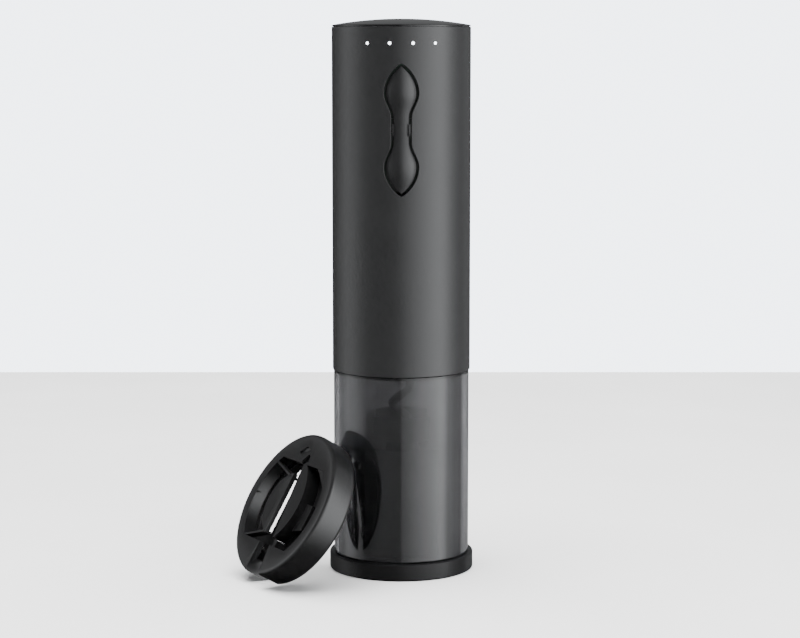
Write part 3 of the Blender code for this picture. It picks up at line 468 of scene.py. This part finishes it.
socket = mesh_object("socket_skin", port_shape(0, socket_low.y - AXIS.y, socket_high.y - AXIS.y),
                     STEEL)
combine(socket, port_shape(-0.35 * MM, socket_low.y - AXIS.y + 1 * MM, 28 * MM))
tongue = loft([[Vector((AXIS.x + x, AXIS.y + depth, PORT.z + z))
                for x, z in ((-3.2 * MM, -0.35 * MM), (3.2 * MM, -0.35 * MM),
                             (3.2 * MM, 0.35 * MM), (-3.2 * MM, 0.35 * MM))]
               for depth in (18.0 * MM, 23.2 * MM)])
combine(socket, tongue, "UNION")
stand_for(socket, "opener", "steel", "charging_socket")

shoulder = HOUSING_BOTTOM - 0.15 * MM
inside = SLEEVE_R - SLEEVE_WALL
sleeve = mesh_object("sleeve_skin", turned(rounded([
    (SLEEVE_R, SLEEVE_BOTTOM, 0.3 * MM), (SLEEVE_R, shoulder, 0.1 * MM),
    (SPIGOT_R, shoulder, 0), (SPIGOT_R, SPIGOT_TOP, 0), (SPIGOT_R - 1.5 * MM, SPIGOT_TOP, 0),
    (SPIGOT_R - 1.5 * MM, 73.0 * MM, 0), (inside, 72.2 * MM, 0),
    (inside, SLEEVE_BOTTOM, 0)])), SMOKED, AT_AXIS)
stand_for(sleeve, "opener", "smoked_clear", "clear_sleeve")

lip_r = SLEEVE_R - SLEEVE_WALL - 0.3 * MM
seat_r = lip_r - 1.1 * MM
seat = BASE_TOP - 1.0 * MM
base = mesh_object("base_skin", turned(rounded([
    (BASE_R, 0, 0.6 * MM), (BASE_R, BASE_TOP, 0.55 * MM), (lip_r, BASE_TOP, 0),
    (lip_r, BASE_TOP + 1.5 * MM, 0.2 * MM), (seat_r, BASE_TOP + 1.5 * MM, 0.2 * MM),
    (seat_r, seat, 0), (16.6 * MM, seat, 0.2 * MM), (16.6 * MM, 0, 1.2 * MM)])), RING_SATIN, AT_AXIS)
stand_for(base, "opener", "gloss_black", "base_ring")

flange_r = seat_r - 0.3 * MM
guide = mesh_object("guide_skin", turned(rounded([
    (flange_r, GUIDE_BOTTOM, 0), (flange_r, GUIDE_BOTTOM + 1.8 * MM, 0.3 * MM),
    (17.5 * MM, GUIDE_BOTTOM + 1.8 * MM, 0.3 * MM), (17.5 * MM, 46.0 * MM, 0.8 * MM),
    (13.4 * MM, 48.4 * MM, 0.8 * MM), (13.4 * MM, GUIDE_TOP, 0.4 * MM),
    (12.2 * MM, GUIDE_TOP, 0.4 * MM), (12.2 * MM, 46.0 * MM, 0.2 * MM), (16.0 * MM, 46.0 * MM, 0),
    (16.0 * MM, GUIDE_BOTTOM, 0)])), INNER, AT_AXIS)
stand_for(guide, "opener", "smoked_inner", "neck_guide")


# --- Battery lights -----------------------------------------------------------------------

bar_low, bar_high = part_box("light_guide")
bar_inner, bar_outer = HOUSING_BORE - 1.9 * MM, HOUSING_BORE - 0.4 * MM
sweep = math.radians(70)
columns = []
for step in range(49):
    angle = -math.pi / 2 - sweep / 2 + sweep * step / 48
    columns.append([AXIS + Vector((r * math.cos(angle), r * math.sin(angle), z)) for r, z in
                    rounded([(bar_inner, bar_low.z, 0.2 * MM), (bar_outer, bar_low.z, 0.2 * MM),
                             (bar_outer, bar_high.z, 0.2 * MM), (bar_inner, bar_high.z, 0.2 * MM)],
                            2)])
lights = mesh_object("light_guide_skin", loft(columns), LENS)
stubs = bmesh.new()
for angle in LED_ANGLES:
    outward = polar(1, angle - 90, 0)
    turn = Matrix.Translation(AXIS + Vector((0, 0, LED_HEIGHT))) @ (
        outward.to_track_quat("Z", "Y").to_matrix().to_4x4())
    levels = [(bar_inner + 0.4 * MM, 1.0), (HOUSING_R - 0.25 * MM, 1.0)]
    for step in range(1, 6):
        rise = math.radians(18 * step)
        levels.append((HOUSING_R - 0.25 * MM + 0.2 * MM * math.sin(rise),
                       max(math.cos(rise), 0.05)))
    loft([[turn @ Vector((x * part, y * part, level)) for x, y in circle(LED_R, 32)]
          for level, part in levels], stubs)
combine(lights, stubs, "UNION")
stand_for(lights, "opener", "lens_white", "light_guide")


# --- Rocker switch ------------------------------------------------------------------------

SWITCH_EDGE = 0.97 * MM       # how far the switch's edge lies under the housing's surface
SWITCH_CROWN_R = 6.2 * MM     # radius of its crowned top, seen along the tube
SWITCH_ROUND = 0.35 * MM
SWITCH_BACK = 2.0 * MM

bm = bmesh.new()
rows = []
LENGTHS = 150
for step in range(LENGTHS + 1):
    along = -math.cos(math.pi * step / LENGTHS) * (SWITCH_TIP - 0.1 * MM)
    half = max(switch_half_width(along * (SWITCH_TIP + SWITCH_GAP) / SWITCH_TIP)
               - SWITCH_GAP - 0.22 * MM, 0.06 * MM)
    curl = min(SWITCH_ROUND, half * 0.6)
    rim = math.sqrt(HOUSING_R ** 2 - half * half) - SWITCH_EDGE
    profile = [(half, HOUSING_R - SWITCH_BACK - 0.7 * MM)]
    for turn in range(6):
        angle = math.radians(18 * turn)
        profile.append((half - curl * (1 - math.cos(angle)), rim - curl * (1 - math.sin(angle))))
    flat = half - curl
    for part in range(15, -1, -1):
        x = flat * part / 16
        profile.append((x, rim + (flat * flat - x * x) / (2 * SWITCH_CROWN_R)))
    row = [(x, depth) for x, depth in profile] + [(-x, d) for x, d in reversed(profile[:-1])]
    rows.append([bm.verts.new((AXIS.x + x, AXIS.y - depth, PIVOT.z + along)) for x, depth in row])
for low, high in zip(rows, rows[1:]):
    for index in range(len(low) - 1):
        bm.faces.new((low[index], low[index + 1], high[index + 1], high[index]))
    bm.faces.new((low[-1], low[0], high[0], high[-1]))
bm.faces.new(rows[0])
bm.faces.new(rows[-1])
switch = mesh_object("switch_skin", bm, SWITCH_SATIN, sharp=50)
ears = bmesh.new()
rod(0.8 * MM, PIVOT - Vector((5 * MM, 0, 0)), PIVOT + Vector((5 * MM, 0, 0)), 24, ears)
combine(switch, ears, "UNION")
boss = bmesh.new()
loft([[PIVOT + Vector((x, y, z)) for x, y in ((-2.6 * MM, -1.3 * MM), (2.6 * MM, -1.3 * MM),
                                              (2.6 * MM, 0), (-2.6 * MM, 0))]
      for z in (-1.5 * MM, 1.5 * MM)], boss)
combine(switch, boss, "UNION")
for side in (-1, 1):
    tab = []
    for z in (-2.1 * MM, -1.9 * MM, 1.9 * MM, 2.1 * MM):
        inset = 0.12 * MM if abs(z) > 2 * MM else 0
        near, far = WAIST_HALF - 0.7 * MM, WAIST_HALF - 0.06 * MM
        top = 0.25 * MM + inset
        ring = [(near, 1.3 * MM), (far, 1.3 * MM), (far, top), (near, top)]
        tab.append([AXIS + Vector((side * x, under - math.sqrt(HOUSING_R ** 2 - x * x),
                                   PIVOT.z + z)) for x, under in ring])
    combine(switch, loft(tab), "UNION")
keep(switch, 50)
stand_for(switch, "rocker", "satin_black", "switch_rocker")


# --- Corkscrew ----------------------------------------------------------------------------


def worm_centre(height):
    """Where the wire's middle lies: a helix that closes onto the axis at its top end."""
    turn = math.tau * (height - WORM_LEFT_CROSSING) / WORM_PITCH + math.pi
    close = min(max((height - (WORM_TOP - 7 * MM)) / (5.5 * MM), 0), 1)
    radius = (WORM_OUTER_R - WORM_WIRE_R) * (1 - close * close * (3 - 2 * close))
    return AXIS + Vector((radius * math.cos(turn), radius * math.sin(turn), height))


STEPS = 320
centres = [worm_centre(WORM_TIP + (WORM_TOP - WORM_TIP) * step / STEPS)
           for step in range(STEPS + 1)]
centres.append(AXIS + Vector((0, 0, worm_high.z)))
rings = []
side = Vector((1, 0, 0))
for index in range(1, len(centres)):
    here = centres[index]
    after = centres[min(index + 1, len(centres) - 1)]
    along = (after - centres[index - 1]).normalized()
    level = along.cross(Vector((0, 0, 1)))
    if level.length > 0.05:
        side = level
    side = (side - along * side.dot(along)).normalized()
    up = side.cross(along)
    radius = WORM_WIRE_R * min(1, 0.12 + 0.88 * ((here.z - WORM_TIP) / (9 * MM)) ** 0.7)
    rings.append([here + side * (radius * math.cos(math.tau * k / 20))
                  + up * (radius * math.sin(math.tau * k / 20)) for k in range(20)])
worm = mesh_object("worm_skin", loft(rings), WORM_COAT, sharp=60)
stand_for(worm, "worm_drive", "worm_steel", "worm")

holder_low, holder_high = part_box("worm_holder")
holder = mesh_object("worm_holder_skin", turned(rounded([
    (7.0 * MM, holder_low.z, 1.2 * MM), (7.0 * MM, holder_high.z, 0.4 * MM),
    (4.5 * MM, holder_high.z, 0), (4.5 * MM, 87.9 * MM, 0),
    (WORM_WIRE_R + 0.35 * MM, 87.9 * MM, 0), (WORM_WIRE_R + 0.35 * MM, holder_low.z, 0.2 * MM)]),
    64), DARK_STEEL, AT_AXIS)
stand_for(holder, "worm_drive", "dark_steel", "worm_holder")


# --- Foil cutter --------------------------------------------------------------------------
# Local axes: X across the slit, Y up along it to the hinge end, Z out of the face.

TOP = CUTTER_THICKNESS
SKIN_R = CUTTER_R - 0.06 * MM  # keeps the round skin inside the faceted CAD puck
CHANNEL_FLOOR = TOP - CUTTER_CHANNEL_DEPTH
PLATE_BOTTOM = TOP - CUTTER_PLATE
puck = turned(rounded([
    (0, 0, 0), (SKIN_R, 0, 1.8 * MM), (SKIN_R, TOP, 1.5 * MM), (0, TOP, 0)], 8), 160)
cutter = mesh_object("cutter_skin", puck, CUTTER_SATIN)


def disc_band(radius, low, high, left=None, steps=40):
    """Outline of the part of a disc between two levels, or only what lies left of a line."""
    first, last = math.asin(low / radius), math.asin(high / radius)
    arc = [(-radius * math.cos(first + (last - first) * step / steps),
            radius * math.sin(first + (last - first) * step / steps)) for step in range(steps + 1)]
    if left is not None:
        return arc + [(left, high), (left, low)]
    return arc + [(-x, y) for x, y in reversed(arc)]


def lens(side, centre, radius, sweep, slit, steps=40):
    """Outline of an arc bulging to one side, closed by a straight line near the slit."""
    points = []
    for step in range(steps + 1):
        angle = math.radians(sweep) * (2 * step / steps - 1)
        points.append((centre[0] + side * radius * math.cos(angle),
                       centre[1] + radius * math.sin(angle)))
    return points + [(slit, points[-1][1]), (slit, points[0][1])]


def in_mm(*points):
    return [(x * MM, y * MM) for x, y in points]


# The two plates between the channels, then the cavity, the channels and the room behind the face.
left_lens = lens(-1, (0.4 * MM, -0.3 * MM), 12.2 * MM, 73.8, -1.0 * MM)
right_lens = lens(1, (-8.2 * MM, 0.8 * MM), 18.5 * MM, 54.5, 0.2 * MM)
combine(cutter, prism(circle(CUTTER_CAVITY_R, 157), -1 * MM, CUTTER_CAVITY_DEPTH))
combine(cutter, prism(disc_band(CUTTER_CHANNEL_R, -CUTTER_CHANNEL_HALF, CUTTER_CHANNEL_HALF),
                      CHANNEL_FLOOR, TOP + 1 * MM))
combine(cutter, prism(disc_band(CUTTER_CHANNEL_R + 0.6 * MM, -21.8 * MM, 21.8 * MM),
                      CHANNEL_FLOOR + 0.3 * MM, TOP - CUTTER_BRIDGE))
# Openings in the floor under the left plate, which let light through the slit.
for window in (in_mm((-8.1, -11.5), (-8.1, 20.0), (-12.0, 18.2), (-17.0, 13.7), (-20.4, 7.6),
                     (-21.6, 0), (-20.4, -7.6), (-18.5, -11.5)),
               in_mm((-8.1, -20.0), (-8.1, -16.3), (-14.2, -16.3), (-12.0, -18.2))):
    combine(cutter, prism(window, -1 * MM, CHANNEL_FLOOR + 1 * MM))
# The plates and two ribs, then a lip and fillers in the right channel.
for outline, bottom in (
        (left_lens, PLATE_BOTTOM), (right_lens, CHANNEL_FLOOR - 0.4 * MM),
        (in_mm((-18.6, 13.1), (-3.5, 9.3), (-3.5, 10.1), (-18.6, 13.9)), TOP - 3.0 * MM),
        (in_mm((-17.6, -16.6), (-3.5, -11.9), (-3.5, -11.1), (-17.6, -15.8)), TOP - 3.0 * MM)):
    combine(cutter, prism(outline, bottom, TOP - 0.03 * MM), "UNION")
combine(cutter, prism(in_mm((9.0, -8.0), (14.3, -6.5), (14.6, 0), (14.2, 3.0), (9.0, 3.0)),
                      CHANNEL_FLOOR - 0.2 * MM, TOP - 3.2 * MM), "UNION")
combine(cutter, prism(in_mm((9.5, 16.2), (17.5, 16.2), (19.8, 10.0), (16.4, 12.2), (13.6, 14.2)),
                      CHANNEL_FLOOR - 0.3 * MM, TOP - 0.03 * MM), "UNION")
combine(cutter, prism(in_mm((1.0, -13.0), (6.4, -13.0), (6.4, -16.2), (1.0, -16.2)),
                      CHANNEL_FLOOR - 0.3 * MM, TOP - 1.2 * MM), "UNION")
# The slit with its notched end, and a shallow recess beside it.
combine(cutter, prism(in_mm((-3.0, -32), (7.0, -32), (2.4, 0), (0.5, 13.2), (0.4, 15.7),
                            (2.7, 17.0), (1.9, 19.4), (0.6, 19.4), (-2.2, 16.0), (-3.0, 15.0)),
                      -1 * MM, TOP + 1 * MM))
combine(cutter, prism(in_mm((-6.5, 19.4), (-4.2, 18.6), (1.0, 20.8), (-2.6, 22.2)),
                      TOP - 0.5 * MM, TOP + 1 * MM))
bevel = cutter.modifiers.new("edges", "BEVEL")
bevel.width = 0.14 * MM
bevel.segments = 2
bevel.limit_method = "ANGLE"
bevel.angle_limit = math.radians(40)
bevel.use_clamp_overlap = True
keep(cutter, 40)
cutter.data.transform(CUTTER_PLACE)
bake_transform(cutter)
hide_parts("cutter_jaw_left", "cutter_jaw_right")

for name in ("left_top", "left_bottom", "right_top", "right_bottom"):
    joint = joints[f"wheel_{name}_spin"]
    place = CUTTER_PLACE.copy()
    place.translation = Vector(joint["pos_m"])
    wheel = mesh_object(f"cutting_wheel_{name}", turned(rounded([
        (1.0 * MM, -0.4 * MM, 0.05 * MM), (3.3 * MM, -0.4 * MM, 0.1 * MM), (4.2 * MM, 0, 0),
        (3.3 * MM, 0.4 * MM, 0.1 * MM), (1.0 * MM, 0.4 * MM, 0.05 * MM)], 2), 64), STEEL, place)
    stand_for(wheel, f"wheel_{name}", "steel", f"wheel_{name}")


# --- Floor, backdrop, light and camera ----------------------------------------------------

TABLE_BEHIND = 0.48           # from the tube to the table's far edge
TABLE_REACH = 1.6
TABLE_THICKNESS = 0.03
floor_bm = loft([[AXIS + Vector((x, y, level)) for x, y in (
    (-TABLE_REACH, -TABLE_REACH), (TABLE_REACH, -TABLE_REACH), (TABLE_REACH, TABLE_BEHIND),
    (-TABLE_REACH, TABLE_BEHIND))] for level in (-TABLE_THICKNESS, 0)])
FLOOR = finish("pale_floor", (0.86, 0.86, 0.86), 0.13, grain=30, relief=0.003, blotch=9,
               spread=0.04, tint=0.02, Specular_IOR_Level=0.5)
floor = mesh_object("floor", floor_bm, FLOOR)
floor.visible_glossy = False


def glow(name, colour, strength):
    material = bpy.data.materials.new(name)
    material.use_nodes = True
    shader = material.node_tree.nodes["Principled BSDF"]
    shader.inputs["Base Color"].default_value = (0, 0, 0, 1)
    shader.inputs["Specular IOR Level"].default_value = 0
    shader.inputs["Emission Color"].default_value = (*colour, 1)
    shader.inputs["Emission Strength"].default_value = strength
    return material


bm = bmesh.new()
bmesh.ops.create_icosphere(bm, subdivisions=5, radius=4.0)
backdrop = mesh_object("backdrop", bm, glow("pale_backdrop", (0.87, 0.92, 1.0), 5.2), AT_AXIS)
backdrop.visible_glossy = False
backdrop.visible_diffuse = False
backdrop.visible_shadow = False

# The studio's soft panels, by the direction around the tube: 0 is the front, 90 the right.
PANELS = ((-180, 0.2), (-160, 0.12), (-140, 0.12), (-118, 0.6), (-103, 1.6), (-88, 1.6),
          (-72, 0.9), (-60, 0.36), (-2, 0.24), (1, 1.0), (14, 1.7), (40, 3.5), (70, 5.4),
          (78, 4.4), (87, 2.0), (102, 0.8), (121, 0.2), (128, 0.7), (150, 0.25), (180, 0.2))
world = bpy.data.worlds.new("studio")
bpy.context.scene.world = world
world.use_nodes = True
tree = world.node_tree
background = tree.nodes["Background"]


def world_math(operation, *values, clamp=False):
    made = tree.nodes.new("ShaderNodeMath")
    made.operation = operation
    made.use_clamp = clamp
    for socket, value in zip(made.inputs, values):
        if isinstance(value, (int, float)):
            socket.default_value = value
        else:
            tree.links.new(value, socket)
    return made.outputs[0]


direction = tree.nodes.new("ShaderNodeTexCoord")
split = tree.nodes.new("ShaderNodeSeparateXYZ")
tree.links.new(direction.outputs["Generated"], split.inputs[0])
ahead = world_math("MULTIPLY", split.outputs["Y"], -1)
around = world_math("ARCTAN2", split.outputs["X"], ahead)
share = world_math("MULTIPLY_ADD", around, 1 / math.tau, 0.5)
ramp = tree.nodes.new("ShaderNodeValToRGB")
BRIGHTEST = max(level for _, level in PANELS)
for index, (degrees, level) in enumerate(PANELS):
    place_at = degrees / 360 + 0.5
    if index < 2:
        stop = ramp.color_ramp.elements[index]
        stop.position = place_at
    else:
        stop = ramp.color_ramp.elements.new(place_at)
    stop.color = (level / BRIGHTEST,) * 3 + (1,)
tree.links.new(share, ramp.inputs["Fac"])
OVERHEAD = 0.15
# The panels fade into a dim overhead, and dim further towards the floor.
height = world_math("MULTIPLY_ADD", split.outputs["Z"], 5.0, -2.7, clamp=True)
dimmed_below = world_math("MULTIPLY_ADD", split.outputs["Z"], 1.9, 1.4, clamp=True)
panels = world_math("MULTIPLY", ramp.outputs["Color"], BRIGHTEST)
sides = world_math("MULTIPLY", panels, dimmed_below)
mix = tree.nodes.new("ShaderNodeMix")
tree.links.new(height, mix.inputs["Factor"])
tree.links.new(sides, mix.inputs["A"])
mix.inputs["B"].default_value = OVERHEAD
tree.links.new(mix.outputs["Result"], background.inputs["Strength"])
background.inputs["Color"].default_value = (0.97, 0.985, 1.0, 1)

soft = bpy.data.lights.new("overhead_softbox", "AREA")
soft.shape = "RECTANGLE"
soft.size, soft.size_y = 2.0, 2.0
soft.energy = 190
overhead = bpy.data.objects.new("overhead_softbox", soft)
bpy.context.scene.collection.objects.link(overhead)
overhead.location = AXIS + Vector((0.0, 0.1, 1.7))
overhead.visible_glossy = False
overhead.visible_transmission = False

CAMERA_DISTANCE = 0.801
CAMERA_HEIGHT = 0.192
CAMERA_LEFT = 0.47 * MM
CAMERA_DOWN = 7.15
camera_data = bpy.data.cameras.new("camera")
camera_data.lens = 99.7
camera_data.sensor_width = 36
camera = bpy.data.objects.new("camera", camera_data)
bpy.context.scene.collection.objects.link(camera)
camera.location = AXIS + Vector((-CAMERA_LEFT, -CAMERA_DISTANCE, CAMERA_HEIGHT))
camera.rotation_euler = (math.radians(90 - CAMERA_DOWN), 0, 0)
bpy.context.scene.camera = camera
